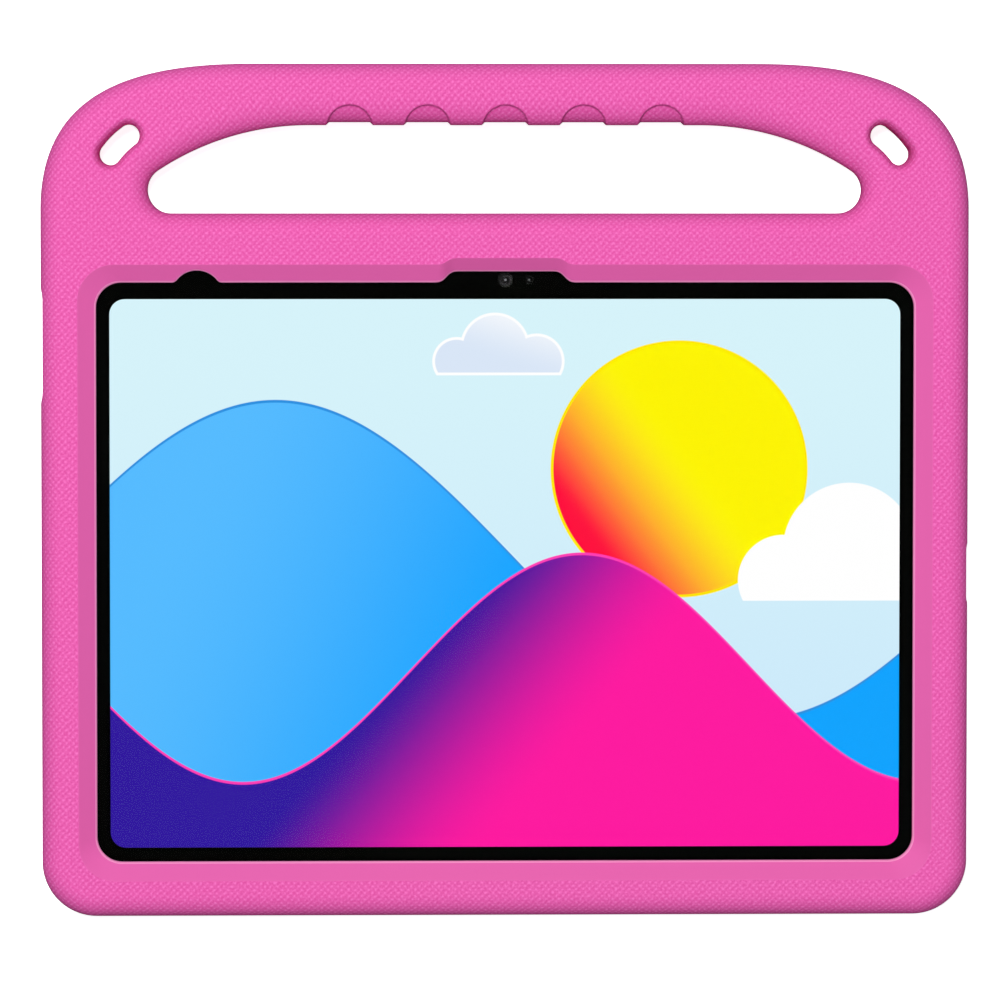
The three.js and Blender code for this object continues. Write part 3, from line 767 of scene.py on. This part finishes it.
# A lit panel that shows a generic picture: pale sky, a sun, two hills and clouds.
def litPicture():
    sizes = pictureSizes
    material = newMaterial("display panel, lit", {
        "Base Color": "#000000", "Roughness": 0.5, "Specular IOR Level": 0.0, "Emission Strength": 1.0})
    tree = material.node_tree
    place = addNode(tree, "ShaderNodeTexCoord")
    # millimetres from the middle of the panel
    spot = addNode(tree, "ShaderNodeMapping", {}, {
        "Vector": (place, "Object"), "Location": (0, -tabletMiddle, 0), "Scale": (1 / mm, 1 / mm, 0)})
    split = addNode(tree, "ShaderNodeSeparateXYZ", {}, {0: spot})

    # distances are positive inside a shape
    def inside(distance):
        return addNode(tree, "ShaderNodeMath", {"operation": "MULTIPLY_ADD", "use_clamp": True},
                       {0: distance, 1: 1 / sizes["edge"], 2: 0.5})

    def discDistance(centre, radius):
        reach = addNode(tree, "ShaderNodeVectorMath", {"operation": "DISTANCE"},
                        {0: spot, 1: (*centre, 0)})
        return addNode(tree, "ShaderNodeMath", {"operation": "SUBTRACT"}, {0: radius, 1: reach})

    def hillDistance(hill):
        turn = addNode(tree, "ShaderNodeMath", {"operation": "MULTIPLY_ADD"},
                       {0: (split, "X"), 1: 1 / hill["spread"], 2: -hill["peak"] / hill["spread"]})
        wave = addNode(tree, "ShaderNodeMath", {"operation": "COSINE"}, {0: turn})
        crest = addNode(tree, "ShaderNodeMath", {"operation": "MULTIPLY_ADD"},
                        {0: wave, 1: hill["rise"], 2: hill["base"]})
        return addNode(tree, "ShaderNodeMath", {"operation": "SUBTRACT"}, {0: crest, 1: (split, "Y")})

    # the outline that all three puffs share, cut off flat underneath
    def cloudDistance(cloud):
        outline = addNode(tree, "ShaderNodeMath", {"operation": "SUBTRACT"},
                          {0: (split, "Y"), 1: cloud["floor"]})
        first, second, third = (discDistance(centre, radius) for centre, radius in cloud["puffs"])
        pair = addNode(tree, "ShaderNodeMath", {"operation": "MAXIMUM"}, {0: first, 1: second})
        puffs = addNode(tree, "ShaderNodeMath", {"operation": "MAXIMUM"}, {0: pair, 1: third})
        return addNode(tree, "ShaderNodeMath", {"operation": "MINIMUM"}, {0: puffs, 1: outline})

    # a soft change from one colour to another along a direction
    def fade(direction, start, end, first, last):
        way = addNode(tree, "ShaderNodeVectorMath", {"operation": "DOT_PRODUCT"},
                      {0: spot, 1: (*direction, 0)})
        share = addNode(tree, "ShaderNodeMapRange", {"interpolation_type": "SMOOTHSTEP"},
                        {"Value": way, "From Min": start, "From Max": end})
        return addNode(tree, "ShaderNodeMix", {"data_type": "RGBA"},
                       {"Factor": share, "A": first, "B": last})

    def shape(under, distance, fill, rim):
        inner = addNode(tree, "ShaderNodeMath", {"operation": "SUBTRACT"}, {0: distance, 1: sizes["rim"]})
        rimmed = addNode(tree, "ShaderNodeMix", {"data_type": "RGBA"},
                         {"Factor": inside(inner), "A": rim, "B": fill})
        return addNode(tree, "ShaderNodeMix", {"data_type": "RGBA"},
                       {"Factor": inside(distance), "A": under, "B": rimmed})

    sun, look = sizes["sun"], sizes["cloud"]
    picture = fade(*sizes["sky"])
    picture = shape(picture, discDistance(sun["centre"], sun["radius"]), fade(*sun["fill"]), sun["line"])
    for hill in sizes["hills"]:
        picture = shape(picture, hillDistance(hill), fade(*hill["fill"]), hill["line"])
    for cloud in sizes["clouds"]:
        fill = fade(look["direction"], cloud["floor"], cloud["floor"] + look["height"], *look["colours"])
        picture = shape(picture, cloudDistance(cloud), fill, look["colours"][1])
    setInputs(tree, tree.nodes["Principled BSDF"], {"Emission Color": picture})
    return material


lensSizes = {
    # glint: the radius of a painted highlight at the centre of each lens
    "frontCamera": {"radius": 1.72, "seat": 2.08, "glint": 0.3},
    "lightSensor": {"radius": 0.55, "seat": 1.18, "glint": 0.2},
    "frontDisc": {"below": 0.02, "glass": 0.62, "glassDepth": 0.04, "glintDepth": 0.05, "tip": 0.05},
    "rearRing": {"round": 0.25, "gap": 0.3},
    "rearLens": {"bands": (4.4, 3.5, 3.2), "below": 0.12, "step": 0.1, "dome": 0.1, "domeFoot": 0.05},
    "keyEdge": 0.45,
}


# the front camera and the light sensor, seen through holes in the black print
def makeFrontDiscs(black):
    # black anodised aluminium, nearly matt; coated glass, dark and smooth; and a pale spot at the lens's
    # centre, a painted highlight
    ring = newMaterial("lens barrel, black anodised", {
        "Base Color": "#131315", "Roughness": 0.6, "Specular IOR Level": 0.14})
    glass = newMaterial("lens glass, coated", {
        "Base Color": "#0A0A0C", "Roughness": 0.12, "Specular IOR Level": 0.14})
    glint = newMaterial("lens painted_glint, catching the light", {
        "Base Color": "#78787E", "Roughness": 0.5, "Specular IOR Level": 0.2})
    disc = lensSizes["frontDisc"]
    for node, key in (("front_camera", "frontCamera"), ("light_sensor", "lightSensor")):
        sizes = lensSizes[key]
        low, high = boxMm(node)
        centre = ((low[0] + high[0]) / 2, (low[1] + high[1]) / 2)
        top = high[2] - disc["below"]
        deep = top - disc["glintDepth"]
        glassRim = (sizes["radius"] * disc["glass"], top - disc["glassDepth"])
        profile = [(sizes["seat"], low[2]), (sizes["seat"], top), (sizes["radius"], top),
                   glassRim, (sizes["glint"], deep), (disc["tip"], deep)]
        points, faces, bands = lathe(profile, centre, 48, [0, 0, 1, 2, 3])
        lens = meshObject(node + "_lens", points, faces, [black, ring, glass, glint], bands, 30)
        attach(lens, caseBodyName)
        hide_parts(node)
    print("front camera and light sensor")


def makeRearCamera(metal, black):
    low, high = boxMm("rear_camera_ring")
    centre = ((low[0] + high[0]) / 2, (low[1] + high[1]) / 2)
    outer = (high[0] - low[0]) / 2
    lensLow, lensHigh = boxMm("rear_camera_lens")
    lensRadius = (lensHigh[0] - lensLow[0]) / 2
    bore = lensRadius + lensSizes["rearRing"]["gap"]
    r = lensSizes["rearRing"]["round"]
    cut = r * 0.3  # where a quarter round stands halfway
    section = [(outer, high[2]), (bore, high[2]),
               (bore, low[2] + r), (bore + cut, low[2] + cut), (bore + r, low[2]),
               (outer - r, low[2]), (outer - cut, low[2] + cut), (outer, low[2] + r)]
    steps = 96
    points = np.concatenate([np.column_stack([circle(centre, radius, steps), np.full(steps, height)])
                             for radius, height in section])
    rings = [i * steps for i in range(len(section))] + [0]
    ring = meshObject("rear_ring", points, bridge(rings), [metal], smoothAngle=30)
    faceOutward(ring.data)
    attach(ring, caseBodyName)
    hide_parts("rear_camera_ring")
    # polished glass, dark with a sharp highlight, in a turned grey aluminium barrel
    glass = newMaterial("rear lens glass, coated", {"Base Color": "#0C0D14", "Roughness": 0.05})
    barrel = newMaterial("rear lens barrel, turned aluminium", {
        "Base Color": "#3A3A3E", "Roughness": 0.35, "Metallic": 1.0})
    sizes = lensSizes["rearLens"]
    wide, inner, edge = sizes["bands"]
    face = -lensLow[2] - sizes["below"]
    foot = face - sizes["domeFoot"]
    profile = [(lensRadius, -lensHigh[2]), (lensRadius, face), (wide, face),
               (inner, face - sizes["step"]), (edge, foot)]
    dome = [(edge * math.cos(a), foot + sizes["dome"] * math.sin(a)) for a in np.linspace(0.15, 1.5, 8)]
    points, faces, bands = lathe(profile + dome, (centre[0], -centre[1]), steps, [0, 0, 1, 0] + [2] * 8)
    lens = meshObject("rear_lens", points * (1, -1, -1), faces, [black, barrel, glass], bands, 30)
    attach(lens, caseBodyName)
    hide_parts("rear_camera_lens")
    print("rear camera")


def makePowerKey(metal):
    low, high = boxMm("power_key")
    height, length = high[2] - low[2], high[1] - low[1]
    edge = lensSizes["keyEdge"]
    levels = [(-high[0], 0.0)]
    for angle in np.linspace(0, math.pi / 2, 7):
        levels.append((-low[0] - edge * (1 - math.sin(angle)), -edge * (1 - math.cos(angle))))
    middle = (low[1] + high[1]) / 2
    rings = [(depth, stadium(length + 2 * growth, height + 2 * growth, 24) + (-middle, tabletMidDepth))
             for depth, growth in levels]
    points, faces = loft(rings)[:2]
    key = meshObject("key", turnedToSide(points, -1), faces, [metal], smoothAngle=30)
    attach(key, "power_key")
    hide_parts("power_key")
    print("power key")


speakerSizes = {"count": 9, "pitch": 1.65, "radius": 0.5, "depth": 0.6, "proud": 0.02}


# a row of round perforations along Y, each a short dark plug along X, painted shade in place of a hole
def speakerTree(dark):
    tree = bpy.data.node_groups.new("speaker perforations", "GeometryNodeTree")
    tree.interface.new_socket("Geometry", in_out="INPUT", socket_type="NodeSocketGeometry")
    for name, kind in (("Count", "Int"), ("Pitch", "Float"), ("Radius", "Float"), ("Depth", "Float")):
        tree.interface.new_socket(name, in_out="INPUT", socket_type="NodeSocket" + kind)
    tree.interface.new_socket("Geometry", in_out="OUTPUT", socket_type="NodeSocketGeometry")
    inputs = addNode(tree, "NodeGroupInput")
    offset = addNode(tree, "ShaderNodeCombineXYZ", {}, {"Y": (inputs, "Pitch")})
    row = addNode(tree, "GeometryNodeMeshLine", {}, {"Count": (inputs, "Count"), "Offset": offset})
    plug = addNode(tree, "GeometryNodeMeshCylinder", {},
                   {"Vertices": 24, "Radius": (inputs, "Radius"), "Depth": (inputs, "Depth")})
    holes = addNode(tree, "GeometryNodeInstanceOnPoints", {},
                    {"Points": row, "Instance": plug, "Rotation": (0.0, math.pi / 2, 0.0)})
    plain = addNode(tree, "GeometryNodeRealizeInstances", {}, {0: holes})
    finished = addNode(tree, "GeometryNodeSetMaterial", {}, {"Geometry": plain, "Material": dark})
    addNode(tree, "NodeGroupOutput", {}, {0: finished})
    return tree


# two rows of perforations in each short side, behind the case's sound slots: dark plugs, painted shade
def makeSpeakers():
    sizes = speakerSizes
    # painted shade: a dark plug stands for a hole too deep for light to come back from
    dark = newMaterial("speaker perforation, in shadow", {
        "Base Color": "#08080A", "Roughness": 0.8, "Specular IOR Level": 0.1})
    holder = meshObject("perforations", [], [])
    modifier = holder.modifiers.new("row", "NODES")
    modifier.node_group = speakerTree(dark)
    values = {"Count": sizes["count"], "Pitch": sizes["pitch"] * mm,
              "Radius": sizes["radius"] * mm, "Depth": sizes["depth"] * mm}
    for item in modifier.node_group.interface.items_tree:
        if item.in_out == "INPUT" and item.name in values:
            modifier[item.identifier] = values[item.name]
    row = bpy.data.meshes.new_from_object(holder.evaluated_get(bpy.context.evaluated_depsgraph_get()))
    plug = np.array([vertex.co for vertex in row.vertices]) / mm
    plugFaces = [tuple(face.vertices) for face in row.polygons]
    bpy.data.objects.remove(holder)
    points, faces = [], []
    length = (sizes["count"] - 1) * sizes["pitch"]
    reach = tabletHigh[0] + sizes["proud"] - sizes["depth"] / 2
    for side in (1, -1):
        for end in (1, -1):
            middle = tabletMiddle + end * caseSizes["soundSlot"]["offset"]
            faces += [tuple(i + len(points) * len(plug) for i in face) for face in plugFaces]
            points.append(plug + (side * reach, middle - length / 2, tabletMidDepth))
    speakers = meshObject("speakers", np.concatenate(points), faces, [dark], smoothAngle=30)
    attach(speakers, caseBodyName)
    print("speaker perforations:", len(speakers.data.polygons), "faces")


def dressTablet():
    metal = anodisedAluminium()
    # screen-printed ink, a flat black; drawn steel, smooth and bright; moulded nylon, a soft black
    black = newMaterial("black print under the glass", {
        "Base Color": "#060607", "Roughness": 0.6, "Specular IOR Level": 0.1})
    steel = newMaterial("stainless steel, drawn", {
        "Base Color": "#B8BABD", "Roughness": 0.3, "Metallic": 1.0})
    nylon = newMaterial("black glass-filled nylon, moulded", {"Base Color": "#1A1A1C", "Roughness": 0.5})
    finishes = {
        "tablet_housing": metal,
        "tablet_display": litPicture(),
        "tablet_border": black,
        "tablet_glass": coatedGlass(),
        "charging_socket_shell": steel,
        "charging_socket_tongue": nylon,
    }
    for name, material in finishes.items():
        piece = frame["nodes"][name]
        piece.data.materials.clear()
        piece.data.materials.append(material)
        smoothShade(piece, 25)
    print("tablet dressed")
    makeFrontDiscs(black)
    makeRearCamera(metal, black)
    makePowerKey(metal)
    makeSpeakers()


studio = {
    "cameraPlace": (-54.98, 97.14, 1923.8),
    "cameraTurn": (-2.989, -1.601, 0.013),  # degrees
    "lens": 239.8,
    "floorReach": 3000,
    "floorColour": "#F4F4F5",
    "floorBounce": "#8C8C8E",  # what the floor sends back to the case, as if it stood further away
    "floorGlow": 0.88,
    "worldStrength": 0.1,
    "worldGloss": 0.6,
    "lamps": {
        "softbox": {"place": (-360, 600, 2200), "size": 600, "power": 48.0},
        "fill": {"place": (900, -700, 700), "size": 500, "power": 1.4},
    },
}


def makeCamera():
    data = bpy.data.cameras.new("camera")
    data.sensor_width = 36
    data.lens = studio["lens"]
    data.clip_start, data.clip_end = 0.05, 20
    camera = bpy.data.objects.new("camera", data)
    camera.location = Vector(studio["cameraPlace"]) * mm
    camera.rotation_euler = [math.radians(a) for a in studio["cameraTurn"]]
    bpy.context.scene.collection.objects.link(camera)
    bpy.context.scene.camera = camera


def makeFloor():
    reach = studio["floorReach"]
    corners = [(-reach, -reach, 0), (reach, -reach, 0), (reach, reach, 0), (-reach, reach, 0)]
    floor = meshObject("floor", corners, [(0, 1, 2, 3)])
    # background paper, quite matt
    material = newMaterial("paper floor", {
        "Roughness": 1.0, "Specular IOR Level": 0.0, "Emission Color": "#FFFFFF"})
    tree = material.node_tree
    path = addNode(tree, "ShaderNodeLightPath")
    seen = addNode(tree, "ShaderNodeMath", {"operation": "MAXIMUM"},
                   {0: (path, "Is Camera Ray"), 1: (path, "Is Transmission Ray")})
    glow = addNode(tree, "ShaderNodeMath", {"operation": "MULTIPLY"}, {0: seen, 1: studio["floorGlow"]})
    colour = addNode(tree, "ShaderNodeMix", {"data_type": "RGBA"},
                     {"Factor": seen, "A": studio["floorBounce"], "B": studio["floorColour"]})
    setInputs(tree, tree.nodes["Principled BSDF"], {"Base Color": colour, "Emission Strength": glow})
    floor.data.materials.append(material)


def makeLight():
    for name, box in studio["lamps"].items():
        data = bpy.data.lights.new(name, "AREA")
        data.shape = "SQUARE"
        data.size = box["size"] * mm
        data.energy = box["power"]
        lamp = bpy.data.objects.new(name, data)
        lamp.location = Vector(box["place"]) * mm
        lamp.rotation_euler = (-Vector(box["place"])).to_track_quat("-Z", "Y").to_euler()
        bpy.context.scene.collection.objects.link(lamp)
    world = bpy.data.worlds.new("studio")
    world.use_nodes = True
    tree = world.node_tree
    path = addNode(tree, "ShaderNodeLightPath")
    plain = studio["worldStrength"]
    seen = addNode(tree, "ShaderNodeMath", {"operation": "MULTIPLY"},
                   {0: (path, "Is Camera Ray"), 1: 1 - plain})
    gloss = addNode(tree, "ShaderNodeMath", {"operation": "MULTIPLY_ADD"},
                    {0: (path, "Is Glossy Ray"), 1: studio["worldGloss"] - plain, 2: plain})
    strength = addNode(tree, "ShaderNodeMath", {"operation": "ADD"}, {0: seen, 1: gloss})
    setInputs(tree, tree.nodes["Background"], {"Color": "#FFFFFF", "Strength": strength})
    bpy.context.scene.world = world


bpy.context.scene.view_settings.view_transform = "Standard"
makeCamera()
makeCaseBody()
dressTablet()
makeFloor()
makeLight()
print("studio ready")
